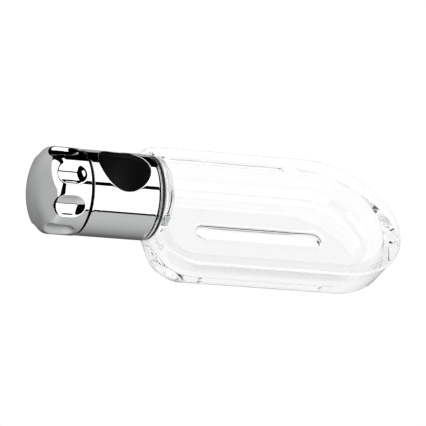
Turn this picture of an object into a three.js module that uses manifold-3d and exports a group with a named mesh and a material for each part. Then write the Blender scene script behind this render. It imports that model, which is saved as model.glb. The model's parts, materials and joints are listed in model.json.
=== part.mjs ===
// Soap dish for a shower riser rail, with a clamping knob.
// Millimetres, +Z up. The origin is the centre of the rail bore. +X runs along the slider's axis,
// from the knob to the dish, and +Z runs along the rail.
import * as THREE from 'three';
import { mergeVertices } from 'three/addons/utils/BufferGeometryUtils.js';
import Module from 'manifold-3d';

const wasm = await Module();
wasm.setup();

// Slider
const SLIDER_R = 17.5;
const SLIDER_BORE_R = 15.2;          // inside of the chromed shell
const SLIDER_X0 = -15.0;             // open end, at the knob
const SLIDER_X1 = 14.1;              // end wall, at the dish
const END_WALL = 1.9;
const SPIGOT_R = 14.2;
const SPIGOT_X1 = 16.9;
const RAIL_BORE_R = 11.2;            // runs on a 22 mm rail

// Ring and gasket between slider and dish
const RING_X = [14.3, 15.8];
const GASKET_X = [15.9, 16.9];
const RING_INNER_R = 14.5;
const GASKET_R = 17.2;

// Knob
const KNOB_R = 17.7;
const KNOB_APEX_X = -34.1;           // middle of the domed face
const KNOB_X1 = -15.9;
const KNOB_DOME_R = 32.0;
const KNOB_EDGE_R = 4.6;             // rounds the dome into the straight side
const KNOB_CAVITY_R = 13.6;
const KNOB_CAVITY_X = -29.0;
const SCALLOPS = 8;
const SCALLOP_TILT = 21.0;           // first scallop's centre, degrees from +Z towards -Y
const SCALLOP_END_X = -18.4;         // end nearest the slider; the other end runs out at the edge
const SCALLOP_BALL_R = 6.5;
const SCALLOP_DEPTH = 2.3;
const KEY_COUNT = 4;
const KEY_WIDTH = 2.0;
const KEY_PLAY = 0.3;

// Neck of the guide block, and what turns on it
const NECK_X = -24.2;
const NECK_R = 7.4;
const COLLAR_X = -17.4;
const COLLAR_R = 9.6;
const BLOCK_X = [-14.7, 11.9];
const BLOCK_R = 14.9;
const CORE_X = [-25.2, -16.2];
const CORE_R = 13.3;
const CORE_BORE_R = 7.7;
const CORE_RECESS_R = 9.9;
const CORE_SHOULDERS = [-22.3, -18.3];
const CLIP_GROOVE_X = [-23.5, -22.4];
const CLIP_GROOVE_R = 6.2;
const CLIP_OUTER_R = 9.4;
const SEAL_GROOVE_X = [-20.6, -19.0];
const SEAL_GROOVE_R = 6.4;
const SEAL_SECTION_R = 0.55;
const PLATE_X = [-28.6, -25.4];

// Clamp
const SCREW_R = 4.0;
const SCREW_ROOT_R = 3.35;
const SCREW_PITCH = 1.25;
const SCREW_TIP_X = -28.4;
const SCREW_THREAD_END = -18.4;
const SCREW_HOLE_R = 4.4;
const NUT_FLATS = 12.6;
const SHOE_HALF = [6.0, 5.0];        // across (Y) and along the rail (Z)
const SHOE_BACK_X = -17.1;
const SHOE_RETRACT = 0.4;            // how far the pad sits behind the bore wall when released
const PAD_THICKNESS = 1.0;
const HEAD_HALF = 4.0;
const HEAD_X = [-15.3, -13.5];
const SHOULDER_R = 2.5;

// Screws that hold the dish
const DISH_SCREW_Y = 11.0;
const DISH_SCREW_R = 1.7;
const DISH_SCREW_HEAD_R = 2.9;
const DISH_SCREW_HEAD_X = [10.3, 12.1];
const DISH_SCREW_TIP_X = 21.0;
const INSERT_X = [17.2, 21.0];
const INSERT_R = 2.6;
const INSERT_HOLE_X = 21.4;

// Screws that hold the nut plate
const PLATE_SCREW_COUNT = 3;
const PLATE_SCREW_RADIUS = 11.6;     // distance from the knob's axis
const PLATE_SCREW_R = 1.0;
const PLATE_SCREW_HEAD_R = 1.7;
const PLATE_SCREW_X = [-28.5, -27.4, -19.4];

// Dish
const DISH_BACK_X = 17.0;
const DISH_HALF_WIDTH = 33.5;
const DISH_NOSE_X = 100.3;           // centre of the round nose
const DISH_CORNER_R = 16.0;
const RIM_Z = -1.8;
const RIM_EDGE_R = 0.9;
const RIM_WIDTH = 7.6;
const RIM_FALL = 1.9;
const OUTER_DRAFT = 3.4;
const BACK_DRAFT = 1.0;
const FOOT_Z = -19.2;
const FOOT_R = 4.0;
const FLOOR_Z = -16.4;
const FLOOR_FILLET_R = 7.2;
const INNER_DRAFT = 0.5;
const SLOT_X = [46.2, 103.6];
const SLOT_HALF = 3.4;
const HUB_R = 17.2;
const HUB_X = 22.5;
const HUB_EDGE_R = 4.9;

const FINE = 48;                     // sides of the large turned pieces
const MEDIUM = 32;
const SMALL = 12;

// ---- solids and geometries -------------------------------------------------------------------

function toSolid(geometry) {
  const bare = geometry.clone();
  bare.deleteAttribute('normal');
  bare.deleteAttribute('uv');
  const merged = mergeVertices(bare, 1e-4);
  const corners = merged.index.array;
  const kept = [];
  for (let i = 0; i < corners.length; i += 3) {
    const [a, b, c] = corners.slice(i, i + 3);
    if (a !== b && b !== c && c !== a) kept.push(a, b, c);
  }
  return new wasm.Manifold(new wasm.Mesh({
    numProp: 3,
    vertProperties: new Float32Array(merged.attributes.position.array),
    triVerts: new Uint32Array(kept),
  }));
}

function toGeometry(solid) {
  const mesh = solid.getMesh();
  const geometry = new THREE.BufferGeometry();
  geometry.setAttribute('position', new THREE.BufferAttribute(mesh.vertProperties, 3));
  geometry.setIndex(new THREE.BufferAttribute(mesh.triVerts, 1));
  geometry.computeVertexNormals();
  return geometry;
}

// A solid turned about the X axis. The profile is a list of [x, radius]: outer walls run towards +X,
// inner walls run towards -X, and it starts and ends on the axis or closes on itself.
function turned(profile, sides = MEDIUM) {
  const points = profile.map(([x, radius]) => new THREE.Vector2(radius, x));
  const geometry = new THREE.LatheGeometry(points, sides);
  geometry.rotateZ(-Math.PI / 2);
  return toSolid(geometry);
}

function ring(x0, x1, innerR, outerR, sides = MEDIUM) {
  return turned([[x0, innerR], [x0, outerR], [x1, outerR], [x1, innerR], [x0, innerR]], sides);
}

function rod(x0, x1, radius, sides = MEDIUM) {
  return turned([[x0, 0], [x0, radius], [x1, radius], [x1, 0]], sides);
}

function block(low, high) {
  const size = high.map((value, i) => value - low[i]);
  const middle = high.map((value, i) => (value + low[i]) / 2);
  const geometry = new THREE.BoxGeometry(...size);
  geometry.translate(...middle);
  return toSolid(geometry);
}

function hexRod(x0, x1, acrossFlats) {
  const cornerR = acrossFlats / Math.sqrt(3);
  const geometry = new THREE.CylinderGeometry(cornerR, cornerR, x1 - x0, 6);
  geometry.rotateZ(-Math.PI / 2);
  geometry.translate((x0 + x1) / 2, 0, 0);
  return toSolid(geometry);
}

// A cylinder along Z, through everything, centred at x.
function railRod(radius, x = 0, sides = FINE) {
  const geometry = new THREE.CylinderGeometry(radius, radius, 60, sides);
  geometry.rotateX(Math.PI / 2);
  geometry.translate(x, 0, 0);
  return toSolid(geometry);
}

// Points of an arc from one angle to another, in degrees, without its first point.
function arc(centreX, centreR, radius, fromDeg, toDeg, steps) {
  const points = [];
  for (let i = 1; i <= steps; i += 1) {
    const angle = THREE.MathUtils.degToRad(fromDeg + (toDeg - fromDeg) * i / steps);
    points.push([centreX + radius * Math.cos(angle), centreR + radius * Math.sin(angle)]);
  }
  return points;
}

function cut(solid, ...cutters) {
  return cutters.reduce((left, cutter) => left.subtract(cutter), solid);
}

// ---- slider ----------------------------------------------------------------------------------

function sliderShell() {
  const innerFace = SLIDER_X1 - END_WALL;
  const edge = 0.4;
  const body = turned([
    [innerFace, 0], [innerFace, SLIDER_BORE_R], [SLIDER_X0, SLIDER_BORE_R],
    [SLIDER_X0, SLIDER_R - edge], [SLIDER_X0 + edge, SLIDER_R],
    [SLIDER_X1 - edge, SLIDER_R], [SLIDER_X1, SLIDER_R - edge],
    [SLIDER_X1, SPIGOT_R], [SPIGOT_X1, SPIGOT_R], [SPIGOT_X1, 0],
  ], FINE);
  return cut(body, railRod(RAIL_BORE_R), ...dishScrewSides().map(
    (y) => rod(innerFace - 1, SPIGOT_X1 + 1, DISH_SCREW_R + 0.2, SMALL).translate([0, y, 0])));
}

function trimRing() {
  const edge = 0.5;
  const [x0, x1] = RING_X;
  return turned([
    [x0, RING_INNER_R], [x0, SLIDER_R - edge], [x0 + edge, SLIDER_R],
    [x1 - edge, SLIDER_R], [x1, SLIDER_R - edge], [x1, RING_INNER_R], [x0, RING_INNER_R],
  ], FINE);
}

function dishGasket() {
  return ring(...GASKET_X, RING_INNER_R, GASKET_R, FINE);
}

function guideBlock() {
  const body = turned([
    [NECK_X, 0], [NECK_X, NECK_R - 0.4], [NECK_X + 0.4, NECK_R],
    [CLIP_GROOVE_X[0], NECK_R], [CLIP_GROOVE_X[0], CLIP_GROOVE_R],
    [CLIP_GROOVE_X[1], CLIP_GROOVE_R], [CLIP_GROOVE_X[1], NECK_R],
    [SEAL_GROOVE_X[0], NECK_R], [SEAL_GROOVE_X[0], SEAL_GROOVE_R],
    [SEAL_GROOVE_X[1], SEAL_GROOVE_R], [SEAL_GROOVE_X[1], NECK_R],
    [COLLAR_X, NECK_R], [COLLAR_X, COLLAR_R], [BLOCK_X[0], COLLAR_R],
    [BLOCK_X[0], BLOCK_R], [BLOCK_X[1], BLOCK_R], [BLOCK_X[1], 0],
  ], MEDIUM);
  const play = 0.3;
  const [halfY, halfZ] = SHOE_HALF;
  const pocket = block([SHOE_BACK_X - 0.1, -halfY - play, -halfZ - play], [0, halfY + play, halfZ + play]);
  const heads = dishScrewSides().map(
    (y) => rod(DISH_SCREW_HEAD_X[0] - 1.1, BLOCK_X[1] + 1, DISH_SCREW_HEAD_R + 0.4, SMALL).translate([0, y, 0]));
  return cut(body, railRod(RAIL_BORE_R), rod(NECK_X - 1, 0, SCREW_HOLE_R, MEDIUM), pocket, ...heads);
}

// ---- knob ------------------------------------------------------------------------------------

// A ball drawn along X from beyond the face: what each finger scallop is cut with.
function scallopCutter() {
  const radial = KNOB_R - SCALLOP_DEPTH + SCALLOP_BALL_R;
  const reach = Math.sqrt(SCALLOP_BALL_R ** 2 - (radial - KNOB_R) ** 2);
  const ballX = SCALLOP_END_X - reach;
  const length = 20;
  const geometry = new THREE.CapsuleGeometry(SCALLOP_BALL_R, length, 5, 24);
  geometry.rotateZ(-Math.PI / 2);
  geometry.translate(ballX - length / 2, 0, radial);
  return toSolid(geometry);
}

function keys(play) {
  const x0 = KNOB_CAVITY_X + 0.1 - play;
  const x1 = CORE_X[1] - 0.2 + play;
  const half = KEY_WIDTH / 2 + play;
  const rib = block([x0, -half, CORE_R - 0.6 - play], [x1, half, KNOB_CAVITY_R + 0.4]);
  return turnedCopies(rib, KEY_COUNT, 45);
}

function turnedCopies(solid, count, firstDeg) {
  const copies = [];
  for (let i = 0; i < count; i += 1) copies.push(solid.rotate([firstDeg + 360 * i / count, 0, 0]));
  return copies;
}

// The domed face and its rounded edge touch without a corner, at `meetDeg` from the axis.
function knobShell() {
  const edgeR = KNOB_R - KNOB_EDGE_R;
  const centreGap = KNOB_DOME_R - KNOB_EDGE_R;
  const meetDeg = THREE.MathUtils.radToDeg(Math.asin(edgeR / centreGap));
  const domeX = KNOB_APEX_X + KNOB_DOME_R;
  const edgeX = domeX - Math.sqrt(centreGap ** 2 - edgeR ** 2);
  const edge = 0.3;
  const cap = turned([
    [KNOB_APEX_X, 0],
    ...arc(domeX, 0, KNOB_DOME_R, 180, 180 - meetDeg, 5),
    ...arc(edgeX, edgeR, KNOB_EDGE_R, 180 - meetDeg, 90, 5),
    [KNOB_X1 - edge, KNOB_R], [KNOB_X1, KNOB_R - edge],
    [KNOB_X1, KNOB_CAVITY_R], [KNOB_CAVITY_X, KNOB_CAVITY_R], [KNOB_CAVITY_X, 0],
  ], FINE);
  const scalloped = cut(cap, ...turnedCopies(scallopCutter(), SCALLOPS, SCALLOP_TILT));
  return keys(0).reduce((left, rib) => left.add(rib), scalloped);
}

function knobCore() {
  const [x0, x1] = CORE_X;
  const [left, right] = CORE_SHOULDERS;
  const body = turned([
    [x0, CORE_RECESS_R], [x0, CORE_R], [x1, CORE_R], [x1, CORE_RECESS_R],
    [right, CORE_RECESS_R], [right, CORE_BORE_R], [left, CORE_BORE_R], [left, CORE_RECESS_R],
    [x0, CORE_RECESS_R],
  ], MEDIUM);
  const hole = rod(x0 - 1, PLATE_SCREW_X[2] + 0.4, PLATE_SCREW_R + 0.15, SMALL);
  return cut(body, ...keys(KEY_PLAY), ...plateScrewPlaces().map((place) => hole.translate(place)));
}

function nutPlate() {
  const [x0, x1] = PLATE_X;
  const body = rod(x0, x1, CORE_R, MEDIUM);
  const nutPocket = hexRod(x0 + 0.7, x1 + 1, NUT_FLATS + 0.4);
  const screwWay = rod(x0 - 1, x1 + 1, SCREW_HOLE_R + 0.6, MEDIUM);
  const hole = rod(x0 - 1, x1 + 1, PLATE_SCREW_R + 0.15, SMALL);
  const headPocket = rod(x0 - 1, PLATE_SCREW_X[1] + 0.1, PLATE_SCREW_HEAD_R + 0.2, SMALL);
  return cut(body, nutPocket, screwWay, ...keys(KEY_PLAY),
    ...plateScrewPlaces().flatMap((place) => [hole.translate(place), headPocket.translate(place)]));
}

function clampNut() {
  const [x0, x1] = [PLATE_X[0] + 0.8, PLATE_X[1] - 0.1];
  return cut(hexRod(x0, x1, NUT_FLATS), rod(x0 - 1, x1 + 1, SCREW_R + 0.25, MEDIUM));
}

function plateScrewPlaces() {
  const places = [];
  for (let i = 0; i < PLATE_SCREW_COUNT; i += 1) {
    const angle = THREE.MathUtils.degToRad(360 * i / PLATE_SCREW_COUNT);
    places.push([0, PLATE_SCREW_RADIUS * Math.sin(angle), PLATE_SCREW_RADIUS * Math.cos(angle)]);
  }
  return places;
}

function plateScrew() {
  const [x0, seat, tip] = PLATE_SCREW_X;
  const body = turned([
    [x0, 0], [x0, PLATE_SCREW_HEAD_R], [seat, PLATE_SCREW_HEAD_R], [seat, PLATE_SCREW_R],
    [tip - 0.5, PLATE_SCREW_R], [tip, 0],
  ], SMALL);
  return cut(body, hexRod(x0 - 1, x0 + 0.6, 1.3));
}

// ---- what sits on the neck -------------------------------------------------------------------

function thrustWasher() {
  return ring(CORE_SHOULDERS[1] + 0.1, COLLAR_X - 0.1, NECK_R + 0.2, COLLAR_R - 0.2);
}

function frictionRing() {
  const middle = (SEAL_GROOVE_X[0] + SEAL_GROOVE_X[1]) / 2;
  const centreR = SEAL_GROOVE_R + SEAL_SECTION_R + 0.05;
  return turned([
    [middle - SEAL_SECTION_R, centreR],
    ...arc(middle, centreR, SEAL_SECTION_R, 180, -180, 8),
  ], MEDIUM);
}

function retainingClip() {
  const [x0, x1] = [CLIP_GROOVE_X[0] + 0.1, CLIP_GROOVE_X[1] - 0.1];
  const mouth = block([x0 - 1, -3.2, -CLIP_OUTER_R - 1], [x1 + 1, 3.2, 0]);
  return cut(ring(x0, x1, CLIP_GROOVE_R + 0.2, CLIP_OUTER_R), mouth);
}

// ---- clamp -----------------------------------------------------------------------------------

function clampScrew() {
  const profile = [[SCREW_TIP_X, 0], [SCREW_TIP_X, SCREW_ROOT_R]];
  for (let x = SCREW_TIP_X + SCREW_PITCH / 2; x < SCREW_THREAD_END; x += SCREW_PITCH) {
    profile.push([x, SCREW_R], [x + SCREW_PITCH / 2, SCREW_ROOT_R]);
  }
  profile.push([SCREW_THREAD_END + 0.3, SCREW_R], [SHOE_BACK_X - 0.3, SCREW_R]);
  profile.push([SHOE_BACK_X - 0.3, SHOULDER_R], [HEAD_X[0] + 0.5, SHOULDER_R], [HEAD_X[0] + 0.5, 0]);
  const head = block([HEAD_X[0], -HEAD_HALF, -HEAD_HALF], [HEAD_X[1], HEAD_HALF, HEAD_HALF]);
  return turned(profile, 20).add(head);
}

function clampShoe() {
  const [halfY, halfZ] = SHOE_HALF;
  const body = block([SHOE_BACK_X, -halfY, -halfZ], [-2, halfY, halfZ]);
  const face = railRod(RAIL_BORE_R + PAD_THICKNESS + 0.1, -SHOE_RETRACT);
  const shoulderSlot = block(
    [SHOE_BACK_X - 1, -SHOULDER_R - 0.2, -HEAD_HALF - 0.2], [HEAD_X[0] + 0.1, SHOULDER_R + 0.2, halfZ + 1]);
  const headSlot = block(
    [HEAD_X[0] - 0.1, -HEAD_HALF - 0.2, -HEAD_HALF - 0.2], [HEAD_X[1] + 0.1, HEAD_HALF + 0.2, halfZ + 1]);
  return cut(body, face, shoulderSlot, headSlot);
}

function shoePad() {
  const halfY = SHOE_HALF[0] - 0.4;
  const halfZ = SHOE_HALF[1] - 0.3;
  const blank = block([-RAIL_BORE_R - 2, -halfY, -halfZ], [-2, halfY, halfZ]);
  const outer = railRod(RAIL_BORE_R + PAD_THICKNESS, -SHOE_RETRACT);
  return cut(blank.intersect(outer), railRod(RAIL_BORE_R, -SHOE_RETRACT));
}

// ---- dish ------------------------------------------------------------------------------------

// The dish's plan outline moved inwards by `inset`, and by `backInset` at its straight back.
function dishOutline(inset, backInset, z) {
  const half = DISH_HALF_WIDTH - inset;
  const back = DISH_BACK_X + backInset;
  const corner = Math.max(DISH_CORNER_R - inset, 2);
  const shape = new THREE.Path();
  shape.absarc(back + corner, -half + corner, corner, Math.PI, 1.5 * Math.PI, false);
  shape.absarc(DISH_NOSE_X, 0, half, -Math.PI / 2, Math.PI / 2, false);
  shape.absarc(back + corner, half - corner, corner, Math.PI / 2, Math.PI, false);
  const [nearCorner, , nose, , farCorner] = shape.curves;
  const points = [...nearCorner.getPoints(6), ...nose.getPoints(28), ...farCorner.getPoints(6)];
  return points.map((point) => new THREE.Vector3(point.x, point.y, z));
}

// A closed skin over rings with equal point counts; the first and last ring are closed flat.
function loft(rings) {
  const count = rings[0].length;
  const positions = rings.flat().flatMap((point) => [point.x, point.y, point.z]);
  const index = [];
  for (let r = 0; r + 1 < rings.length; r += 1) {
    for (let i = 0; i < count; i += 1) {
      const a = r * count + i;
      const b = r * count + (i + 1) % count;
      index.push(a, b, b + count, a, b + count, a + count);
    }
  }
  const last = (rings.length - 1) * count;
  for (let i = 1; i + 1 < count; i += 1) {
    index.push(0, i + 1, i);
    index.push(last, last + i, last + i + 1);
  }
  const geometry = new THREE.BufferGeometry();
  geometry.setAttribute('position', new THREE.Float32BufferAttribute(positions, 3));
  geometry.setIndex(index);
  return toSolid(geometry);
}

// Rings from the underside, up the outer wall, over the rim and down the inner wall to the floor.
function dishRings() {
  const rings = [];
  const wallHeight = RIM_Z - FOOT_Z;
  const outerInset = (z) => (RIM_Z - z) / wallHeight;
  for (let i = 0; i <= 5; i += 1) {
    const angle = Math.PI / 2 * (1 - i / 5);
    const z = FOOT_Z + FOOT_R * (1 - Math.sin(angle));
    const curl = FOOT_R * (1 - Math.cos(angle));
    const share = outerInset(z);
    rings.push(dishOutline(OUTER_DRAFT * share + curl, BACK_DRAFT * share + curl, z));
  }
  for (let i = 0; i <= 2; i += 1) {
    const angle = Math.PI / 2 * i / 2;
    const inset = RIM_EDGE_R * (1 - Math.cos(angle));
    rings.push(dishOutline(inset, inset, RIM_Z - RIM_EDGE_R * (1 - Math.sin(angle))));
  }
  const creaseZ = RIM_Z - RIM_FALL;
  rings.push(dishOutline(RIM_WIDTH, RIM_WIDTH, creaseZ));
  for (let i = 0; i <= 5; i += 1) {
    const angle = Math.PI / 2 * i / 5;
    const z = FLOOR_Z + FLOOR_FILLET_R * (1 - Math.sin(angle));
    const inset = RIM_WIDTH + INNER_DRAFT + FLOOR_FILLET_R * (1 - Math.cos(angle));
    rings.push(dishOutline(inset, inset, z));
  }
  return rings;
}

function drainSlot() {
  const shape = new THREE.Shape();
  shape.absarc(SLOT_X[1] - SLOT_HALF, 0, SLOT_HALF, -Math.PI / 2, Math.PI / 2, false);
  shape.absarc(SLOT_X[0] + SLOT_HALF, 0, SLOT_HALF, Math.PI / 2, 1.5 * Math.PI, false);
  const geometry = new THREE.ExtrudeGeometry(shape, { depth: 8, bevelEnabled: false, curveSegments: 8 });
  geometry.translate(0, 0, FOOT_Z - 2);
  return toSolid(geometry);
}

function soapDish() {
  const hub = turned([
    [DISH_BACK_X, 0], [DISH_BACK_X, HUB_R],
    [HUB_X - HUB_EDGE_R, HUB_R], ...arc(HUB_X - HUB_EDGE_R, HUB_R - HUB_EDGE_R, HUB_EDGE_R, 90, 0, 6),
    [HUB_X, 0],
  ], FINE);
  const insertHoles = dishScrewSides().map(
    (y) => rod(DISH_BACK_X - 1, INSERT_HOLE_X, INSERT_R + 0.2, SMALL).translate([0, y, 0]));
  return cut(loft(dishRings()).add(hub), drainSlot(), ...insertHoles);
}

function dishScrewSides() {
  return [-DISH_SCREW_Y, DISH_SCREW_Y];
}

function dishScrew() {
  const [x0, seat] = DISH_SCREW_HEAD_X;
  const body = turned([
    [x0, 0], [x0, DISH_SCREW_HEAD_R - 0.7], [x0 + 0.7, DISH_SCREW_HEAD_R], [seat, DISH_SCREW_HEAD_R],
    [seat, DISH_SCREW_R], [DISH_SCREW_TIP_X - 0.5, DISH_SCREW_R], [DISH_SCREW_TIP_X, DISH_SCREW_R - 0.5],
    [DISH_SCREW_TIP_X, 0],
  ], SMALL);
  return cut(body, hexRod(x0 - 1, x0 + 1.1, 2.5));
}

function hubInsert() {
  const [x0, x1] = INSERT_X;
  const waist = (x0 + x1) / 2;
  const inner = DISH_SCREW_R + 0.15;
  return turned([
    [x0, inner], [x0, INSERT_R], [waist - 0.4, INSERT_R], [waist - 0.4, INSERT_R - 0.4],
    [waist + 0.4, INSERT_R - 0.4], [waist + 0.4, INSERT_R], [x1, INSERT_R], [x1, inner], [x0, inner],
  ], SMALL);
}

// ---- finishes and assembly -------------------------------------------------------------------

function finish(color, roughness, metalness, opacity = 1) {
  return new THREE.MeshStandardMaterial({ color, roughness, metalness, opacity, transparent: opacity < 1 });
}

const chrome = finish(0xd4d6da, 0.06, 1);
const steel = finish(0xa8abb0, 0.35, 1);
const brass = finish(0xc9a552, 0.35, 1);
const blackPlastic = finish(0x0b0b0c, 0.5, 0);
const whitePlastic = finish(0xdcdcd6, 0.5, 0);
const rubber = finish(0x111112, 0.85, 0);
const clearPlastic = finish(0xf1f5f5, 0.04, 0, 0.3);

function piece(name, solid, material, position = [0, 0, 0]) {
  const mesh = new THREE.Mesh(toGeometry(solid), material);
  mesh.name = name;
  mesh.position.set(...position);
  return mesh;
}

function holder() {
  const group = new THREE.Group();
  group.add(piece('slider_shell', sliderShell(), chrome));
  group.add(piece('guide_block', guideBlock(), blackPlastic));
  group.add(piece('trim_ring', trimRing(), chrome));
  group.add(piece('dish_gasket', dishGasket(), rubber));
  group.add(piece('soap_dish', soapDish(), clearPlastic));
  for (const [side, y] of [['front', -DISH_SCREW_Y], ['rear', DISH_SCREW_Y]]) {
    group.add(piece(`dish_screw_${side}`, dishScrew(), steel, [0, y, 0]));
    group.add(piece(`hub_insert_${side}`, hubInsert(), steel, [0, y, 0]));
  }
  group.add(piece('thrust_washer', thrustWasher(), steel));
  group.add(piece('friction_ring', frictionRing(), rubber));
  group.add(piece('retaining_clip', retainingClip(), steel));
  return group;
}

function knob() {
  const group = new THREE.Group();
  group.add(piece('knob_shell', knobShell(), chrome));
  group.add(piece('knob_core', knobCore(), whitePlastic));
  group.add(piece('nut_plate', nutPlate(), steel));
  group.add(piece('clamp_nut', clampNut(), brass));
  plateScrewPlaces().forEach((place, i) => {
    group.add(piece(`plate_screw_${i + 1}`, plateScrew(), steel, place));
  });
  return group;
}

function clamp() {
  const group = new THREE.Group();
  group.add(piece('clamp_screw', clampScrew(), steel));
  group.add(piece('clamp_shoe', clampShoe(), whitePlastic));
  group.add(piece('shoe_pad', shoePad(), rubber));
  return group;
}

const soapDishHolder = new THREE.Group();
soapDishHolder.add(holder(), knob(), clamp());

export default soapDishHolder;
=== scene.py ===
"""Rail-mounted soap dish with a clamping knob: its looks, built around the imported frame.

Lengths are in metres, in the frame of the part: the origin is the centre of the rail bore, +X runs
along the slider's axis from the knob to the dish, and +Z runs along the rail.
"""

import json
import math
import bpy
import bmesh
from mathutils import Matrix, Vector


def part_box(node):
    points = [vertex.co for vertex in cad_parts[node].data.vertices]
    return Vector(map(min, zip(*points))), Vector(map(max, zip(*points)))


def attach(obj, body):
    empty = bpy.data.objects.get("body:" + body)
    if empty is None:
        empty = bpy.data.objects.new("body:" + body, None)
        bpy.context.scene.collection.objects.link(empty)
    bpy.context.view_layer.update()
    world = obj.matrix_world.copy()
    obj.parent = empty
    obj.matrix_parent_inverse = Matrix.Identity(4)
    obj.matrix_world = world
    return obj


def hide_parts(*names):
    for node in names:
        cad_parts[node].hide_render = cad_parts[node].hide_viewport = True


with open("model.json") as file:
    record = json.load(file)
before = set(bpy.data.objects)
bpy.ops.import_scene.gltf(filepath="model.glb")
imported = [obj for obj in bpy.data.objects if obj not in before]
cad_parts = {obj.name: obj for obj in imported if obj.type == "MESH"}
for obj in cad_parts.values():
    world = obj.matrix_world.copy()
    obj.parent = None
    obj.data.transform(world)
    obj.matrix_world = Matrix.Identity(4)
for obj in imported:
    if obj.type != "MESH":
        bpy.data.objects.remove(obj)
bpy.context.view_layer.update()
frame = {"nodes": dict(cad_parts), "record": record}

MM = 0.001

# ---- sizes -----------------------------------------------------------------------------------

# Slider
SLIDER_LOW, SLIDER_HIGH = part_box("slider_shell")
SLIDER_R = SLIDER_HIGH.z
SLIDER_X0 = SLIDER_LOW.x + 0.1 * MM
SPIGOT_X1 = SLIDER_HIGH.x
SLIDER_X1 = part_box("trim_ring")[0].x - 0.2 * MM
SLIDER_INNER_R = 15.2 * MM
END_WALL = 1.9 * MM
SPIGOT_R = 14.2 * MM
SLIDER_EDGE = 0.35 * MM
SPIGOT_EDGE = 0.3 * MM
RAIL_BORE_R = 11.2 * MM
BORE_EDGE = 0.45 * MM

# Ring and gasket
RING_INNER_R = 14.5 * MM
RING_EDGE = 0.6 * MM
RING_GAP = 0.35 * MM
GASKET_EDGE = 0.2 * MM

# Knob
KNOB_LOW, KNOB_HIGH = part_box("knob_shell")
KNOB_APEX = KNOB_LOW.x
KNOB_MOUTH = KNOB_HIGH.x - 0.15 * MM
KNOB_R = 17.7 * MM
KNOB_DOME_R = 32.0 * MM
KNOB_EDGE_R = 4.6 * MM
KNOB_MOUTH_EDGE = 0.3 * MM
KNOB_CAVITY_R = 13.6 * MM
KNOB_CAVITY_X = -29.0 * MM
SCALLOPS = 8
SCALLOP_TILT = math.radians(21.0)
SCALLOP_END_X = -18.4 * MM
SCALLOP_BALL_R = 6.5 * MM
SCALLOP_DEPTH = 2.3 * MM
SCALLOP_LIP = 0.8 * MM

# Dish
DISH_LOW, DISH_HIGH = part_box("soap_dish")
DISH_BACK = DISH_LOW.x
DISH_HALF = DISH_HIGH.y
NOSE_X = DISH_HIGH.x - DISH_HALF
FOOT_Z = DISH_LOW.z
HUB_R = DISH_HIGH.z
DISH_CORNER_R = 16.0 * MM
LEAST_CORNER_R = 2.0 * MM
RIM_Z = -1.8 * MM
RIM_EDGE = 0.9 * MM
RIM_WIDTH = 7.6 * MM
RIM_FALL = 1.9 * MM
CREASE_R = 0.5 * MM
OUTER_DRAFT = 3.4 * MM
BACK_DRAFT = 1.0 * MM
FOOT_R = 4.0 * MM
FLOOR_Z = -16.4 * MM
FLOOR_FILLET = 7.2 * MM
INNER_DRAFT = 0.5 * MM
SLOT_X0, SLOT_X1 = 46.2 * MM, 103.6 * MM
SLOT_HALF = 3.4 * MM
SLOT_LIP = 1.35 * MM
SLOT_EDGE = 0.45 * MM
HUB_X = 22.5 * MM
HUB_EDGE = 4.9 * MM
HUB_BACK_EDGE = 0.3 * MM
INSERT_GAP = 0.15 * MM
INSERT_END_GAP = 0.4 * MM

# Distances and steps for the meshes themselves
WELD = 1e-8                          # points of a loft that are nearer than this are one point
SHELL_WELD = 0.002 * MM              # the same for the slider's shell, which is made of several strips
DISC_R = 0.01 * MM                   # the small flat disc in the middle of an end wall
HALFWAY_R = 2 * MM                   # a ring of points on an end wall, between its disc and its edge
NEAR = 0.01 * MM                     # how near a surface a face's middle is, to belong to it
EDGE_STEPS = 5                       # steps over a rounded edge
FULL = 0.999                         # a fillet as long as its side, but for a hair, so no points meet
ROUND_SIDES = 192                    # points round the trim ring and the gasket

# ---- meshes ----------------------------------------------------------------------------------


def make_object(name, verts, faces, material, merge=0.0, painted_shade_marks=()):
    """An object from plain lists. The faces that the marks pick out get black plastic, as painted shade.
    """
    mesh = bpy.data.meshes.new(name)
    mesh.from_pydata(verts, [], faces)
    mesh.materials.append(material)
    if painted_shade_marks:
        mesh.materials.append(BLACK)
        for face, black in zip(mesh.polygons, painted_shade_marks):
            face.material_index = int(black)
    if merge:
        work = bmesh.new()
        work.from_mesh(mesh)
        bmesh.ops.remove_doubles(work, verts=work.verts, dist=merge)
        bmesh.ops.recalc_face_normals(work, faces=work.faces)
        work.to_mesh(mesh)
        work.free()
    mesh.validate()
    mesh.shade_smooth()
    obj = bpy.data.objects.new(name, mesh)
    bpy.context.scene.collection.objects.link(obj)
    return obj


def weigh_normals(obj):
    """Large flat faces keep their own normals, and only the fillets between them shade round."""
    modifier = obj.modifiers.new("weighted_normals", "WEIGHTED_NORMAL")
    modifier.keep_sharp = True
    modifier.weight = 100


def sharpen(obj, degrees=32):
    """Keeps the creases that are steeper than this from shading round."""
    obj.data.set_sharp_from_angle(angle=math.radians(degrees))


def loft(name, rings, material, close=False):
    """Quads between rings of equal length. A ring of one point is a pole; close joins last to first."""
    verts, starts = [], []
    for ring in rings:
        starts.append(len(verts))
        verts.extend(ring)
    count = max(len(ring) for ring in rings)
    faces = []
    pairs = list(zip(range(len(rings) - 1), range(1, len(rings))))
    if close:
        pairs.append((len(rings) - 1, 0))
    for low, high in pairs:
        a, b = starts[low], starts[high]
        for i in range(count):
            j = (i + 1) % count
            if len(rings[low]) == 1:
                faces.append((a, b + j, b + i))
            elif len(rings[high]) == 1:
                faces.append((a + i, a + j, b))
            else:
                faces.append((a + i, a + j, b + j, b + i))
    return make_object(name, verts, faces, material, merge=WELD)


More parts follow.
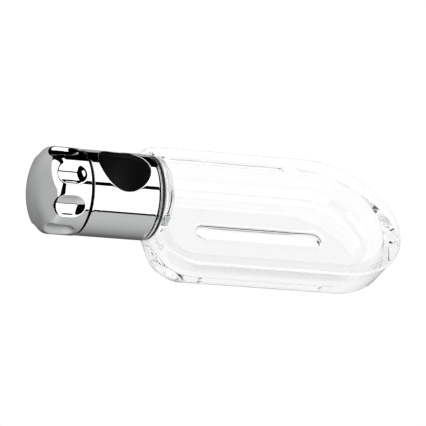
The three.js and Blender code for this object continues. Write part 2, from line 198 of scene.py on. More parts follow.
def around_x(x, radius, sides, phase=0.0):
    """A ring of points round the X axis, or the one point on the axis."""
    if radius < WELD:
        return [(x, 0.0, 0.0)]
    ring = []
    for i in range(sides):
        angle = phase + 2 * math.pi * i / sides
        ring.append((x, -radius * math.sin(angle), radius * math.cos(angle)))
    return ring


def rounded(corners, steps=EDGE_STEPS):
    """A profile through corners (x, radius, fillet), with each fillet drawn as an arc."""
    points = []
    last = len(corners) - 1
    for i, (x, radius, fillet) in enumerate(corners):
        here = Vector((x, radius))
        if fillet == 0 or i in (0, last):
            points.append((x, radius))
            continue
        back = (Vector(corners[i - 1][:2]) - here).normalized()
        ahead = (Vector(corners[i + 1][:2]) - here).normalized()
        half = math.acos(max(-1, min(1, back.dot(ahead)))) / 2
        reach = fillet / math.tan(half)
        start = here + back * reach
        middle = here + (back + ahead).normalized() * fillet / math.sin(half)
        arm = start - middle
        turn = math.pi - 2 * half
        side = math.copysign(1, back.x * ahead.y - back.y * ahead.x)
        for k in range(steps + 1):
            angle = -side * turn * k / steps
            c, s = math.cos(angle), math.sin(angle)
            points.append((middle.x + arm.x * c - arm.y * s, middle.y + arm.x * s + arm.y * c))
    return points


def lathe(name, profile, material, sides=128, close=False):
    """A profile of (x, radius) turned about the X axis. A closed one ends where it starts."""
    rings = [around_x(x, radius, sides) for x, radius in profile]
    if close:
        rings.pop()
    return loft(name, rings, material, close)


def blacken(obj, in_painted_shade):
    """Makes black, as painted shade, the faces whose centre (x, distance from the axis) the test picks
    out.
    """
    obj.data.materials.append(BLACK)
    for face in obj.data.polygons:
        x, y, z = face.center
        if in_painted_shade(x, math.hypot(y, z)):
            face.material_index = 1


def cut(obj, tools, operation="DIFFERENCE"):
    """Cuts or joins with the tools, which are then removed, and keeps the result as the mesh."""
    for tool in tools:
        modifier = obj.modifiers.new("cut", "BOOLEAN")
        modifier.operation = operation
        modifier.solver = "EXACT"
        modifier.object = tool
    graph = bpy.context.evaluated_depsgraph_get()
    result = bpy.data.meshes.new_from_object(obj.evaluated_get(graph))
    obj.modifiers.clear()
    obj.data = result
    for tool in tools:
        bpy.data.objects.remove(tool)


# ---- materials -------------------------------------------------------------------------------

NOISE_LOW, NOISE_HIGH = 0.35, 0.65   # most of a noise texture's values lie between these
COLOUR_STOPS = (0.3, 0.7)


def new_material(name):
    """A material, its node tree and its shader."""
    material = bpy.data.materials.new(name)
    material.use_nodes = True
    tree = material.node_tree
    shader = tree.nodes["Principled BSDF"]
    return material, tree, shader


def add_noise(tree, scale, detail=4.0, stretch=(1, 1, 1)):
    """Noise in the object's own coordinates, finer along the axes that stretch makes larger."""
    place = tree.nodes.new("ShaderNodeTexCoord")
    mapping = tree.nodes.new("ShaderNodeMapping")
    mapping.inputs["Scale"].default_value = stretch
    noise = tree.nodes.new("ShaderNodeTexNoise")
    noise.inputs["Scale"].default_value = scale
    noise.inputs["Detail"].default_value = detail
    tree.links.new(place.outputs["Object"], mapping.inputs["Vector"])
    tree.links.new(mapping.outputs["Vector"], noise.inputs["Vector"])
    return noise.outputs["Fac"]


def vary_roughness(tree, shader, fac, low, high):
    """Lets the roughness wander between two values."""
    ranged = tree.nodes.new("ShaderNodeMapRange")
    ranged.inputs["From Min"].default_value = NOISE_LOW
    ranged.inputs["From Max"].default_value = NOISE_HIGH
    ranged.inputs["To Min"].default_value = low
    ranged.inputs["To Max"].default_value = high
    tree.links.new(fac, ranged.inputs["Value"])
    tree.links.new(ranged.outputs["Result"], shader.inputs["Roughness"])


def vary_colour(tree, shader, fac, dark, light):
    """Lets the base colour wander between two colours."""
    colours = tree.nodes.new("ShaderNodeValToRGB")
    for stop, position, colour in zip(colours.color_ramp.elements, COLOUR_STOPS, (dark, light)):
        stop.position = position
        stop.color = (*colour, 1)
    tree.links.new(fac, colours.inputs["Fac"])
    tree.links.new(colours.outputs["Color"], shader.inputs["Base Color"])


def add_bump(tree, shader, fac, strength, distance):
    """Fine relief, with its depth in metres."""
    bump = tree.nodes.new("ShaderNodeBump")
    bump.inputs["Strength"].default_value = strength
    bump.inputs["Distance"].default_value = distance
    tree.links.new(fac, bump.inputs["Height"])
    tree.links.new(bump.outputs["Normal"], shader.inputs["Normal"])


def chrome_material():
    """Polished chrome plating, with a faint haze that changes over a few centimetres."""
    material, tree, shader = new_material("chrome_plating")
    shader.inputs["Base Color"].default_value = (0.55, 0.556, 0.56, 1)
    shader.inputs["Metallic"].default_value = 1.0
    vary_roughness(tree, shader, add_noise(tree, 55, 5), 0.015, 0.045)
    return material


def clear_material():
    """Clear acrylic moulding: slow flow waves in its surface, and light passes to what is below."""
    material, tree, shader = new_material("clear_moulding")
    shader.inputs["Base Color"].default_value = (0.955, 0.96, 0.96, 1)
    shader.inputs["Transmission Weight"].default_value = 1.0
    shader.inputs["IOR"].default_value = 1.49
    shader.inputs["Roughness"].default_value = 0.0
    add_bump(tree, shader, add_noise(tree, 38, 2, (1, 1.6, 1)), 0.12, 0.0006)
    paths = tree.nodes.new("ShaderNodeLightPath")
    see_through = tree.nodes.new("ShaderNodeBsdfTransparent")
    see_through.inputs["Color"].default_value = (0.93, 0.94, 0.94, 1)
    mix = tree.nodes.new("ShaderNodeMixShader")
    output = tree.nodes["Material Output"]
    tree.links.new(paths.outputs["Is Shadow Ray"], mix.inputs["Fac"])
    tree.links.new(shader.outputs["BSDF"], mix.inputs[1])
    tree.links.new(see_through.outputs["BSDF"], mix.inputs[2])
    tree.links.new(mix.outputs["Shader"], output.inputs["Surface"])
    return material


def plastic_material(name, dark, light, rough, grain):
    """Moulded plastic with a fine spark-eroded grain."""
    material, tree, shader = new_material(name)
    vary_colour(tree, shader, add_noise(tree, 90, 3), dark, light)
    vary_roughness(tree, shader, add_noise(tree, 400, 4), rough - 0.08, rough + 0.08)
    add_bump(tree, shader, add_noise(tree, grain, 6), 0.25, 0.00008)
    shader.inputs["Specular IOR Level"].default_value = 0.25
    return material


def metal_material(name, dark, light, rough, stretch):
    """Turned or drawn metal: fine marks drawn out along one direction."""
    material, tree, shader = new_material(name)
    shader.inputs["Metallic"].default_value = 1.0
    marks = add_noise(tree, 700, 3, stretch)
    vary_colour(tree, shader, marks, dark, light)
    vary_roughness(tree, shader, marks, rough - 0.08, rough + 0.1)
    add_bump(tree, shader, marks, 0.2, 0.00003)
    return material


CHROME = chrome_material()
CLEAR = clear_material()
# BLACK is also the black that the chrome parts get in their grooves and insides: painted shade.
BLACK = plastic_material("black_acetal_and_painted_shade", (0.003, 0.003, 0.003), (0.006, 0.006, 0.006), 0.5, 1500)
WHITE = plastic_material("natural_acetal", (0.70, 0.70, 0.66), (0.78, 0.78, 0.75), 0.45, 1200)
RUBBER = plastic_material("black_rubber", (0.010, 0.010, 0.010), (0.018, 0.018, 0.018), 0.7, 2500)
STEEL = metal_material("stainless_steel", (0.50, 0.51, 0.52), (0.62, 0.63, 0.65), 0.3, (0.05, 1, 1))
BRASS = metal_material("machined_brass", (0.60, 0.44, 0.18), (0.74, 0.57, 0.27), 0.3, (1, 0.1, 0.1))

# ---- slider ----------------------------------------------------------------------------------

PATCH_SIDES = (44, 76, 44, 76)       # points on the right, rear, left and front sides of a patch
SHELL_SIDES = 2 * PATCH_SIDES[0]     # points round an end of the shell, where two patches meet
OUTER_STEPS, INNER_STEPS = 14, 6     # steps from the bore to a patch's border
CROWDING = 1.25                      # above 1 sets these steps closer together near the bore
LIP_RINGS = 6                        # rings over the rounded rim of the bore


def patch_border(x0, x1):
    """Points (x, angle) round the half cylinder |angle| <= 90 degrees, from its front right corner."""
    right, rear, left, front = PATCH_SIDES
    quarter = math.pi / 2
    border = [(x1, -quarter + math.pi * i / right) for i in range(right)]
    border += [(x1 + (x0 - x1) * i / rear, quarter) for i in range(rear)]
    border += [(x0, quarter - math.pi * i / left) for i in range(left)]
    border += [(x0 + (x1 - x0) * i / front, -quarter) for i in range(front)]
    return border


def bore_angles():
    """For each point of the border, the angle round the bore that its grid line starts from."""
    border = patch_border(SLIDER_X0, SLIDER_X1)
    return [math.atan2(SLIDER_R * angle, x) for x, angle in border]


def on_cylinder(x, angle, radius, side):
    """The point at this angle from +Z, or from -Z on the lower side."""
    return (x, radius * math.sin(angle), side * radius * math.cos(angle))


def half_shell(side, radius, x0, x1, hole_r, steps):
    """Rings from the bore's edge out to the border of one half of a cylinder that the bore cuts."""
    rings = []
    border = patch_border(x0, x1)
    for k in range(steps + 1):
        share = (k / steps) ** CROWDING
        ring = []
        for turn, (edge_x, edge_angle) in zip(bore_angles(), border):
            hole_x = hole_r * math.cos(turn)
            hole_angle = math.asin(hole_r * math.sin(turn) / radius)
            x = hole_x + (edge_x - hole_x) * share
            angle = hole_angle + (edge_angle - hole_angle) * share
            ring.append(on_cylinder(x, angle, radius, side))
        rings.append(ring)
    return rings


def bore_rings(side):
    """The rounded rim of the bore and its wall, down to the shell's inside."""
    rings = []
    for k in range(1, LIP_RINGS + 1):
        t = k / LIP_RINGS
        ring = []
        for turn in bore_angles():
            outer = bore_point(RAIL_BORE_R + BORE_EDGE, turn, 0, side)
            corner = bore_point(RAIL_BORE_R, turn, 0, side)
            wall = bore_point(RAIL_BORE_R, turn, BORE_EDGE, side)
            ring.append(tuple(outer * (1 - t) ** 2 + corner * 2 * t * (1 - t) + wall * t * t))
        rings.append(ring)
    rings.append([
        on_cylinder(RAIL_BORE_R * math.cos(turn), math.asin(RAIL_BORE_R * math.sin(turn) / SLIDER_INNER_R),
                    SLIDER_INNER_R, side) for turn in bore_angles()])
    return rings


def bore_point(radius, turn, depth, side):
    """A point of the rail bore's wall, this far below the slider's surface."""
    y = radius * math.sin(turn)
    z = math.sqrt(SLIDER_R ** 2 - y * y) - depth
    return Vector((radius * math.cos(turn), y, side * z))


def add_strip(skin, rings, black=False):
    """Adds the quads between rings to a skin, which is its vertices, faces and marks of faces in painted
    shade.
    """
    verts, faces, painted_shade_marks = skin
    start, count = len(verts), len(rings[0])
    for ring in rings:
        verts.extend(ring)
    for r in range(len(rings) - 1):
        a, b = start + r * count, start + (r + 1) * count
        for i in range(count):
            j = (i + 1) % count
            faces.append((a + i, a + j, b + j, b + i))
            painted_shade_marks.append(black)


def add_turned(skin, profile, black=False):
    """Adds a profile of (x, radius) turned about the slider's axis, to match the patches' points."""
    angles = [-math.pi / 2 + 2 * math.pi * i / SHELL_SIDES for i in range(SHELL_SIDES)]
    rings = [[(x, radius * math.sin(a), radius * math.cos(a)) for a in angles] for x, radius in profile]
    add_strip(skin, rings, black)


def add_disc(skin, x):
    """Closes the small hole in the middle of an end wall."""
    verts, faces, painted_shade_marks = skin
    start = len(verts)
    verts.extend(around_x(x, DISC_R, SHELL_SIDES, math.pi / 2))
    faces.append(tuple(range(start, start + SHELL_SIDES)))
    painted_shade_marks.append(True)


def add_patches(skin, outer_x, inner_x1):
    """Adds the upper and lower halves of the shell, each with its end of the rail bore."""
    for side in (1, -1):
        outer = half_shell(side, SLIDER_R, *outer_x, RAIL_BORE_R + BORE_EDGE, OUTER_STEPS)
        rim = [outer[0]] + bore_rings(side)
        inner = half_shell(side, SLIDER_INNER_R, SLIDER_X0, inner_x1, RAIL_BORE_R, INNER_STEPS)
        add_strip(skin, outer)
        add_strip(skin, rim[:-1])
        # The bore's wall below its rim and the shell's inside are black: painted shade.
        add_strip(skin, rim[-2:], black=True)
        add_strip(skin, inner, black=True)


def shell_skin():
    """The chromed shell: its outside, the rounded rim of the bore, and its inside in black as painted
    shade.
    """
    skin = ([], [], [])
    edge = SLIDER_EDGE * FULL
    inner_x1 = SLIDER_X1 - END_WALL
    outer_x = (SLIDER_X0 + SLIDER_EDGE, SLIDER_X1 - SLIDER_EDGE)
    add_patches(skin, outer_x, inner_x1)
    left_end = rounded([
        (outer_x[0], SLIDER_R, 0), (SLIDER_X0, SLIDER_R, edge), (SLIDER_X0, SLIDER_INNER_R, 0)])
    add_turned(skin, left_end[:-1])
    # The left end face, in the groove by the knob, is black: painted shade.
    add_turned(skin, left_end[-2:], black=True)
    right_end = rounded([
        (outer_x[1], SLIDER_R, 0), (SLIDER_X1, SLIDER_R, edge), (SLIDER_X1, SPIGOT_R, 0),
        (SPIGOT_X1, SPIGOT_R, SPIGOT_EDGE), (SPIGOT_X1, HALFWAY_R, 0), (SPIGOT_X1, DISC_R, 0)])
    plated = EDGE_STEPS + 2          # the first corner and the points of the rounded edge
    add_turned(skin, right_end[:plated])
    # The right end face, the spigot and the inner end wall are black: painted shade.
    add_turned(skin, right_end[plated - 1:], black=True)
    add_turned(skin, [(inner_x1, SLIDER_INNER_R), (inner_x1, HALFWAY_R), (inner_x1, DISC_R)], black=True)
    add_disc(skin, SPIGOT_X1)
    add_disc(skin, inner_x1)
    verts, faces, painted_shade_marks = skin
    obj = make_object("slider_chrome", verts, faces, CHROME, SHELL_WELD, painted_shade_marks)
    weigh_normals(obj)
    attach(obj, "holder")
    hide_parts("slider_shell")


def trim_ring():
    """The chromed ring, black on its flat sides and inside, as painted shade."""
    low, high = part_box("trim_ring")
    left = low.x + RING_GAP
    ring = lathe("trim_ring_chrome", rounded([
        (left, RING_INNER_R, 0), (left, SLIDER_R, RING_EDGE), (high.x, SLIDER_R, RING_EDGE),
        (high.x, RING_INNER_R, 0), (left, RING_INNER_R, 0)]), CHROME, ROUND_SIDES, close=True)
    # Below its rounded edges the ring is black: painted shade in the grooves at its sides.
    blacken(ring, lambda x, r: r < SLIDER_R - RING_EDGE)
    weigh_normals(ring)
    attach(ring, "holder")
    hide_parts("trim_ring")


def gasket():
    """The black seal between the ring and the dish's hub."""
    low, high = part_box("dish_gasket")
    seal = lathe("gasket_rubber", rounded([
        (low.x, RING_INNER_R, 0), (low.x, high.z, GASKET_EDGE), (high.x, high.z, GASKET_EDGE),
        (high.x, RING_INNER_R, 0), (low.x, RING_INNER_R, 0)]), RUBBER, ROUND_SIDES, close=True)
    weigh_normals(seal)
    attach(seal, "holder")
    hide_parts("dish_gasket")


# ---- knob ------------------------------------------------------------------------------------

KNOB_SIDES = 480                     # points round the knob
DOME_STEPS, KNOB_EDGE_STEPS, SIDE_STEPS = 36, 36, 60


def knob_profile():
    """Outer profile (x, radius) from the domed face's middle, over the rounded edge, to the mouth."""
    edge_centre_r = KNOB_R - KNOB_EDGE_R
    centre_gap = KNOB_DOME_R - KNOB_EDGE_R
    meet = math.asin(edge_centre_r / centre_gap)
    dome_x = KNOB_APEX + KNOB_DOME_R
    edge_x = dome_x - centre_gap * math.cos(meet)
    straight_end = KNOB_MOUTH - KNOB_MOUTH_EDGE
    points = []
    for i in range(DOME_STEPS):
        angle = meet * i / DOME_STEPS
        points.append((dome_x - KNOB_DOME_R * math.cos(angle), KNOB_DOME_R * math.sin(angle)))
    for i in range(KNOB_EDGE_STEPS):
        angle = meet + (math.pi / 2 - meet) * i / KNOB_EDGE_STEPS
        x = edge_x - KNOB_EDGE_R * math.cos(angle)
        points.append((x, edge_centre_r + KNOB_EDGE_R * math.sin(angle)))
    for i in range(SIDE_STEPS + 1):
        points.append((edge_x + (straight_end - edge_x) * i / SIDE_STEPS, KNOB_R))
    return points


def scallop_radius(x, off_centre):
    """Distance from the axis to the ball-shaped cutter's near side, or None where it isn't met."""
    far = KNOB_R - SCALLOP_DEPTH + SCALLOP_BALL_R
    reach = math.sqrt(SCALLOP_BALL_R ** 2 - (far - KNOB_R) ** 2)
    past = max(0.0, x - (SCALLOP_END_X - reach))
    inside = SCALLOP_BALL_R ** 2 - past ** 2 - (far * math.sin(off_centre)) ** 2
    if inside <= 0:
        return None
    return far * math.cos(off_centre) - math.sqrt(inside)


def soft_min(a, b, blend):
    """The smaller of two numbers, with a rounded change between them."""
    share = max(0.0, blend - abs(a - b)) / blend
    return min(a, b) - share * share * blend / 4


def scalloped_ring(x, radius):
    """The ring of points where the knob's outside has this radius between its scallops."""
    pitch = 2 * math.pi / SCALLOPS
    ring = []
    for i in range(KNOB_SIDES):
        turn = 2 * math.pi * i / KNOB_SIDES
        angle = SCALLOP_TILT + turn
        off_centre = (angle - SCALLOP_TILT + pitch / 2) % pitch - pitch / 2
        cutter = scallop_radius(x, off_centre)
        r = radius if cutter is None else soft_min(radius, cutter, SCALLOP_LIP)
        ring.append((x, -r * math.sin(angle), r * math.cos(angle)))
    return ring


def is_painted_shade(x, r):
    """True for the knob's mouth and cavity, at this distance from the axis: the faces in painted shade."""
    in_cavity = x > KNOB_CAVITY_X - NEAR and r < KNOB_CAVITY_R + NEAR
    return in_cavity or x > KNOB_MOUTH - NEAR


def knob_skin():
    """The chromed cap: the domed end, the scalloped side, and the mouth and cavity in black as painted
    shade.
    """
    outside = knob_profile()
    rings = [around_x(*outside[0], KNOB_SIDES)]
    rings += [scalloped_ring(x, radius) for x, radius in outside[1:]]
    inside = rounded([
        (KNOB_MOUTH - KNOB_MOUTH_EDGE, KNOB_R, 0), (KNOB_MOUTH, KNOB_R, KNOB_MOUTH_EDGE * FULL),
        (KNOB_MOUTH, KNOB_CAVITY_R, 0), (KNOB_CAVITY_X, KNOB_CAVITY_R, 0), (KNOB_CAVITY_X, 0, 0)])
    rings += [around_x(x, radius, KNOB_SIDES, SCALLOP_TILT) for x, radius in inside[1:]]
    knob = loft("knob_chrome", rings, CHROME)
    # The mouth and cavity get black plastic in place of chrome: painted shade in the groove by the slider.
    blacken(knob, is_painted_shade)
    weigh_normals(knob)
    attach(knob, "knob")
    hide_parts("knob_shell")


# ---- dish ------------------------------------------------------------------------------------

OUTLINE_STEPS = {"back": 8, "corner": 16, "side": 24, "nose": 96}
FOOT_STEPS, WALL_STEPS, RIM_STEPS, FILLET_STEPS = 8, 5, 7, 12
LIP_STEPS = 5                        # steps over each rounded edge of the slot
FLAT_STEPS = 7                       # steps over the flat floor, and over the flat underside
HUB_SIDES, HUB_EDGE_STEPS = 160, 14
HOLE_SIDES = 48


def arc_points(cx, cy, radius, start, end, steps):
    """Points on an arc, without its last one, angles in degrees."""
    points = []
    for i in range(steps):
        angle = math.radians(start + (end - start) * i / steps)
        points.append((cx + radius * math.cos(angle), cy + radius * math.sin(angle)))
    return points


def line_points(start, end, steps):
    """Points on a straight line, without its last one."""
    (x0, y0), (x1, y1) = start, end
    return [(x0 + (x1 - x0) * i / steps, y0 + (y1 - y0) * i / steps) for i in range(steps)]


def dish_outline(inset, back_inset, z):
    """The D-shaped plan outline moved inwards, from the middle of the back round by the front side."""
    n = OUTLINE_STEPS
    half = DISH_HALF - inset
    back = DISH_BACK + back_inset
    corner = max(DISH_CORNER_R - inset, LEAST_CORNER_R)
    points = line_points((back, 0), (back, -half + corner), n["back"])
    points += arc_points(back + corner, -half + corner, corner, 180, 270, n["corner"])
    points += line_points((back + corner, -half), (NOSE_X, -half), n["side"])
    points += arc_points(NOSE_X, 0, half, -90, 90, n["nose"])
    points += line_points((NOSE_X, half), (back + corner, half), n["side"])
    points += arc_points(back + corner, half - corner, corner, 90, 180, n["corner"])
    points += line_points((back, half - corner), (back, 0), n["back"])
    return [(x, y, z) for x, y in points]


def slot_outline(grow, z):
    """The drain slot's outline, with the same number of points as the dish's, in the same order."""
    n = OUTLINE_STEPS
    half = SLOT_HALF + grow
    x0, x1 = SLOT_X0 + SLOT_HALF, SLOT_X1 - SLOT_HALF
    quarter = n["back"] + n["corner"]
    points = arc_points(x0, 0, half, 180, 270, quarter)
    points += line_points((x0, -half), (x1, -half), n["side"])
    points += arc_points(x1, 0, half, -90, 90, n["nose"])
    points += line_points((x1, half), (x0, half), n["side"])
    points += arc_points(x0, 0, half, 90, 180, quarter)
    return [(x, y, z) for x, y in points]


def between(first, last, steps):
    """Rings part way from one ring to another, without either of them."""
    rings = []
    for k in range(1, steps):
        t = k / steps
        rings.append([tuple(a + (b - a) * t for a, b in zip(p, q)) for p, q in zip(first, last)])
    return rings


def dish_section():
    """The wall's section as (inset, back inset, z): up the outside, over the rim, down to the floor."""
    height = RIM_Z - FOOT_Z
    section = []
    for k in range(FOOT_STEPS + 1):
        angle = math.pi / 2 * (1 - k / FOOT_STEPS)
        z = FOOT_Z + FOOT_R * (1 - math.sin(angle))
        curl = FOOT_R * (1 - math.cos(angle))
        share = (RIM_Z - z) / height
        section.append((OUTER_DRAFT * share + curl, BACK_DRAFT * share + curl, z))
    for k in range(1, WALL_STEPS + 1):
        z = FOOT_Z + FOOT_R + (height - FOOT_R - RIM_EDGE) * k / (WALL_STEPS + 0.5)
        share = (RIM_Z - z) / height
        section.append((OUTER_DRAFT * share, BACK_DRAFT * share, z))
    crease = (RIM_WIDTH, RIM_Z - RIM_FALL)
    floor_top = (RIM_WIDTH + INNER_DRAFT, FLOOR_Z + FLOOR_FILLET)
    rim = rounded([
        (0.0, RIM_Z - RIM_EDGE * 1.4, 0), (0.0, RIM_Z, RIM_EDGE), (*crease, CREASE_R), (*floor_top, 0)],
        RIM_STEPS)
    section += [(inset, inset, z) for inset, z in rim[1:-1]]
    for k in range(FILLET_STEPS + 1):
        angle = math.pi / 2 * k / FILLET_STEPS
        inset = floor_top[0] + FLOOR_FILLET * (1 - math.cos(angle))
        section.append((inset, inset, FLOOR_Z + FLOOR_FILLET * (1 - math.sin(angle))))
    return section


def slot_section():
    """The slot's edge as (growth, z), from the floor, round both edges, to the underside."""
    section = []
    for k in range(LIP_STEPS + 1):
        angle = math.pi / 2 * k / LIP_STEPS
        section.append((SLOT_LIP * (1 - math.sin(angle)), FLOOR_Z - SLOT_LIP * (1 - math.cos(angle))))
    for k in range(LIP_STEPS + 1):
        angle = math.pi / 2 * k / LIP_STEPS
        section.append((SLOT_EDGE * (1 - math.cos(angle)), FOOT_Z + SLOT_EDGE * (1 - math.sin(angle))))
    return section


def hub_solid():
    """The round boss behind the ring, which the dish's back wall runs into."""
    profile = rounded([
        (DISH_BACK, 0, 0), (DISH_BACK, HUB_R, HUB_BACK_EDGE), (HUB_X, HUB_R, HUB_EDGE), (HUB_X, 0, 0)],
        HUB_EDGE_STEPS)
    return lathe("hub", profile, CLEAR, HUB_SIDES)


def insert_hole(side):
    """A cutter for the blind hole in the hub that one threaded insert sits in."""
    low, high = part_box("hub_insert_" + side)
    start = DISH_BACK - 1 * MM
    end = high.x + INSERT_END_GAP
    radius = (high.y - low.y) / 2 + INSERT_GAP
    hole = lathe("hole", [(start, 0), (start, radius), (end, radius), (end, 0)], CLEAR, HOLE_SIDES)
    hole.data.transform(Matrix.Translation((0, (high.y + low.y) / 2, 0)))
    return hole


def dish_skin():
    """The clear dish: one closed ring of sections through the wall, the floor and the slot."""
    walls = [dish_outline(*row) for row in dish_section()]
    slot = [slot_outline(*row) for row in slot_section()]
    floor = between(walls[-1], slot[0], FLAT_STEPS)
    underside = between(slot[-1], walls[0], FLAT_STEPS)
    dish = loft("dish_clear", walls + floor + slot + underside, CLEAR, close=True)
    cut(dish, [hub_solid()], "UNION")
    cut(dish, [insert_hole("front"), insert_hole("rear")])
    dish.data.shade_smooth()
    sharpen(dish)
    weigh_normals(dish)
    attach(dish, "holder")
    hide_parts("soap_dish")


# ---- carried-over CAD nodes ------------------------------------------------------------------


def dress_cad_nodes():
    """Gives every CAD node the material of its slot."""
    finishes = {"chrome": CHROME, "clear_plastic": CLEAR, "black_plastic": BLACK, "white_plastic": WHITE,
                "rubber": RUBBER, "steel": STEEL, "brass": BRASS}
    slots = {row["node"]: row["material_slot"] for row in frame["record"]["subparts"]}
    for name, node in frame["nodes"].items():
        for place in node.material_slots:
            place.material = finishes[slots[name]]


# ---- stage -----------------------------------------------------------------------------------

FLOOR_HALF = 6.0
FLOOR_DROP = 250 * MM                # the dish hangs on its rail this far above the table
BOX_RADIANCE = 2.2
# The white panels' ranges of x, y and z.
SOFTBOXES = {
    "overhead_box": ((-0.06, 1.0), (-0.16, 0.58), (0.6, 0.6)),
    "front_box": ((-0.2, 1.1), (-0.6, -0.6), (0.01, 1.35)),
    "left_box": ((-0.6, -0.6), (-0.27, 0.61), (-0.04, 0.68))}
SCREEN_R = 1.6
SCREEN_STEPS = 12
# The dark screens' directions from the rail bore, as azimuths from +X towards +Y and elevations.
SCREENS = {
    "card_front": ((-64, 4), (31, 53)),
    "card_right": ((4, 40), (41, 57)),
    "card_low": ((42, 62), (24, 33)),
    "card_beside": ((-165, -64), (31, 59)),
    "card_left": ((120, 146), (30, 37))}
# The table as reflections show it: radiance by the angle from +Z towards -Y, in degrees.
# The dip down to 0.14 round 202 degrees is a painted shadow of the object on the table.
TABLE_GLOW = [
    (94.8, 0.0), (95.5, 1.12), (114, 1.1), (130, 1.0), (146, 0.84), (164, 0.6), (174, 0.46),
    (186, 0.27), (202, 0.14), (226, 0.38), (264, 0.8), (265, 0.0)]
KNOB_SIDE_GLOW = 0.33                # what the table's radiance gains on the knob's side
KNOB_SIDE_X = (0.2, -0.45)           # where a direction's x starts and ends this gain
END_GLOW = 0.93                      # the table's radiance beyond the knob's end, where it is even
END_X = (-0.5, -0.8)                 # where a direction's x starts and ends the change to it
LEAST_GLOW = 0.05                    # below this a direction is the dark room's, and gains nothing
# The dark corner's three soft edges, and how much the near and the high one slant.
STAND_LEFT, STAND_NEAR, STAND_HIGH = (-0.4, -0.45), (-0.12, -0.18), (-0.08, -0.02)
NEAR_SLANT, HIGH_SLANT = 0.43, 0.4
BOUNCES = 128                        # enough for light that the dish's thick wall holds


def panel(name, xs, ys, zs, material):
    """A flat rectangle over these ranges of x, y and z, of which one is a single place given twice."""
    (x0, x1), (y0, y1), (z0, z1) = xs, ys, zs
    if z0 == z1:
        corners = [(x0, y0, z0), (x1, y0, z0), (x1, y1, z0), (x0, y1, z0)]
    else:
        corners = [(x0, y0, z0), (x1, y1, z0), (x1, y1, z1), (x0, y0, z1)]
    obj = make_object(name, corners, [(0, 1, 2, 3)], material)
    return obj


def emitter(name, radiance):
    """A material that only sends out light, the same all over."""
    material, _, shader = new_material(name)
    shader.inputs["Base Color"].default_value = (0, 0, 0, 1)
    shader.inputs["Specular IOR Level"].default_value = 0.0
    shader.inputs["Emission Color"].default_value = (1, 1, 1, 1)
    shader.inputs["Emission Strength"].default_value = radiance
    return material


def show_only(obj, *kinds):
    """Lets only some kinds of ray meet a stage object."""
    for kind in ("camera", "diffuse", "glossy", "transmission", "shadow", "volume_scatter"):
        setattr(obj, "visible_" + kind, kind in kinds)


def softbox(name, xs, ys, zs):
    """A white panel that only reflections show."""
    show_only(panel(name, xs, ys, zs, emitter(name + "_light", BOX_RADIANCE)), "glossy")


def dark_screen(name, azimuths, elevations):
    """A curved dark screen round the dish, high up, that only rays through the clear moulding meet."""
    low, high = (SCREEN_R * math.tan(math.radians(e)) for e in elevations)
    verts, faces = [], []
    for i in range(SCREEN_STEPS + 1):
        angle = math.radians(azimuths[0] + (azimuths[1] - azimuths[0]) * i / SCREEN_STEPS)
        x, y = SCREEN_R * math.cos(angle), SCREEN_R * math.sin(angle)
        verts += [(x, y, low), (x, y, high)]
        if i:
            faces.append((2 * i - 2, 2 * i, 2 * i + 1, 2 * i - 1))
    obj = make_object(name, verts, faces, emitter(name + "_black", 0.0))
    show_only(obj, "transmission")


def floor_material():
    """A pale, evenly lit table top."""
    material, _, shader = new_material("pale_table")
    shader.inputs["Base Color"].default_value = (0.7, 0.7, 0.7, 1)
    shader.inputs["Roughness"].default_value = 0.8
    shader.inputs["Specular IOR Level"].default_value = 0.0
    shader.inputs["Emission Color"].default_value = (1, 1, 1, 1)
    shader.inputs["Emission Strength"].default_value = 0.33
    return material


def add_math(tree, operation, *values):
    """A math node on numbers or on other nodes' outputs."""
    node = tree.nodes.new("ShaderNodeMath")
    node.operation = operation
    for socket, value in zip(node.inputs, values):
        if isinstance(value, (int, float)):
            socket.default_value = value
        else:
            tree.links.new(value, socket)
    return node.outputs["Value"]


def ramp(tree, value, zero_at, one_at):
    """0 to 1 as the value goes from one number to the other, and level beyond them."""
    node = tree.nodes.new("ShaderNodeMapRange")
    node.inputs["From Min"].default_value = zero_at
    node.inputs["From Max"].default_value = one_at
    tree.links.new(value, node.inputs["Value"])
    return node.outputs["Result"]


def glow_curve(tree, turn):
    """The table's glow by the angle round the X axis, as a share of a whole turn."""
    curve = tree.nodes.new("ShaderNodeFloatCurve")
    tree.links.new(turn, curve.inputs["Value"])
    line = curve.mapping.curves[0]
    line.points[0].location = (0, 0)
    line.points[-1].location = (1, 0)
    for degrees, value in TABLE_GLOW:
        line.points.new(degrees / 360, value)
    for point in line.points:
        point.handle_type = "VECTOR"
    curve.mapping.update()
    return curve.outputs["Value"]


def table_glow(tree, split):
    """The table's glow in one direction, with the painted shadow: more on the knob's side, and even beyond
    the knob's end.
    """
    x, y, z = (split.outputs[axis] for axis in "XYZ")
    angle = add_math(tree, "ARCTAN2", add_math(tree, "MULTIPLY", y, -1.0), z)
    turn = add_math(tree, "ADD", add_math(tree, "DIVIDE", angle, 2 * math.pi), 1.0)
    glow = glow_curve(tree, add_math(tree, "FRACT", turn))
    below = add_math(tree, "GREATER_THAN", glow, LEAST_GLOW)
    beside = add_math(tree, "MULTIPLY", ramp(tree, x, *KNOB_SIDE_X), below)
    whole = add_math(tree, "ADD", glow, add_math(tree, "MULTIPLY", beside, KNOB_SIDE_GLOW))
    end_on = add_math(tree, "MULTIPLY", ramp(tree, x, *END_X), below)
    short_of = add_math(tree, "SUBTRACT", END_GLOW, whole)
    whole = add_math(tree, "ADD", whole, add_math(tree, "MULTIPLY", short_of, end_on))
    lit = add_math(tree, "SUBTRACT", 1.0, camera_stand(tree, x, y, z))
    return add_math(tree, "MULTIPLY", whole, lit)


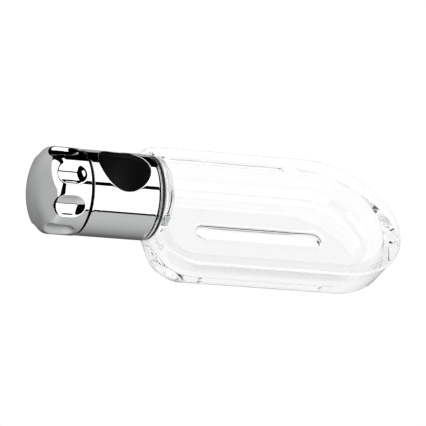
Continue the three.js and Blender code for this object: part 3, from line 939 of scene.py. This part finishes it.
def camera_stand(tree, x, y, z):
    """1 in the dark corner of the room that the camera stands in, which has slanting, soft edges."""
    left = ramp(tree, x, *STAND_LEFT)
    nearness = add_math(tree, "ADD", y, add_math(tree, "MULTIPLY", z, NEAR_SLANT))
    near = ramp(tree, nearness, *STAND_NEAR)
    height = add_math(tree, "SUBTRACT", z, add_math(tree, "MULTIPLY", x, HIGH_SLANT))
    high = ramp(tree, height, *STAND_HIGH)
    return add_math(tree, "MULTIPLY", add_math(tree, "MULTIPLY", left, near), high)


def build_world():
    """White all round, except that reflections show the table's glow with a painted shadow, and a dark
    room above it.
    """
    world = bpy.data.worlds.new("studio")
    bpy.context.scene.world = world
    world.use_nodes = True
    tree = world.node_tree
    place = tree.nodes.new("ShaderNodeTexCoord")
    split = tree.nodes.new("ShaderNodeSeparateXYZ")
    tree.links.new(place.outputs["Generated"], split.inputs["Vector"])
    reflected = tree.nodes.new("ShaderNodeBackground")
    tree.links.new(table_glow(tree, split), reflected.inputs["Strength"])
    plain = tree.nodes["Background"]
    plain.inputs["Color"].default_value = (1, 1, 1, 1)
    plain.inputs["Strength"].default_value = 1.0
    paths = tree.nodes.new("ShaderNodeLightPath")
    glossy, refracted = paths.outputs["Is Glossy Ray"], paths.outputs["Is Transmission Ray"]
    mirrored = add_math(tree, "SUBTRACT", glossy, refracted)
    mix = tree.nodes.new("ShaderNodeMixShader")
    tree.links.new(mirrored, mix.inputs["Fac"])
    tree.links.new(plain.outputs["Background"], mix.inputs[1])
    tree.links.new(reflected.outputs["Background"], mix.inputs[2])
    tree.links.new(mix.outputs["Shader"], tree.nodes["World Output"].inputs["Surface"])


def build_stage():
    """The table, the world's light, and the panels and screens round the object."""
    z = FOOT_Z - FLOOR_DROP
    span = (-FLOOR_HALF, FLOOR_HALF)
    floor = panel("floor", span, span, (z, z), floor_material())
    # Reflections show the world's table, with its painted shadow, in place of this floor.
    floor.visible_glossy = False
    build_world()
    for name, ranges in SOFTBOXES.items():
        softbox(name, *ranges)
    for name, directions in SCREENS.items():
        dark_screen(name, *directions)


def build_camera():
    """The photographer's place: a long lens, looking down from the knob's side."""
    right = Vector((0.8917, -0.2677, 0.3649))
    up = Vector((-0.0704, 0.7144, 0.6962))
    back = Vector((-0.4471, -0.6464, 0.6182))
    place = Vector((-0.77434, -1.19056, 1.13293))
    data = bpy.data.cameras.new("camera")
    data.sensor_width = 36
    data.lens = 380.3
    data.clip_start = 0.01
    data.clip_end = 20
    camera = bpy.data.objects.new("camera", data)
    bpy.context.scene.collection.objects.link(camera)
    turn = Matrix((right, up, back)).transposed().to_4x4()
    camera.matrix_world = Matrix.Translation(place) @ turn
    bpy.context.scene.camera = camera


build_camera()
shell_skin()
trim_ring()
gasket()
knob_skin()
dish_skin()
dress_cad_nodes()
build_stage()
scene = bpy.context.scene
scene.view_settings.view_transform = "Standard"
scene.cycles.max_bounces = BOUNCES
scene.cycles.transmission_bounces = BOUNCES
scene.cycles.glossy_bounces = BOUNCES
scene.cycles.caustics_refractive = False
scene.cycles.caustics_reflective = False
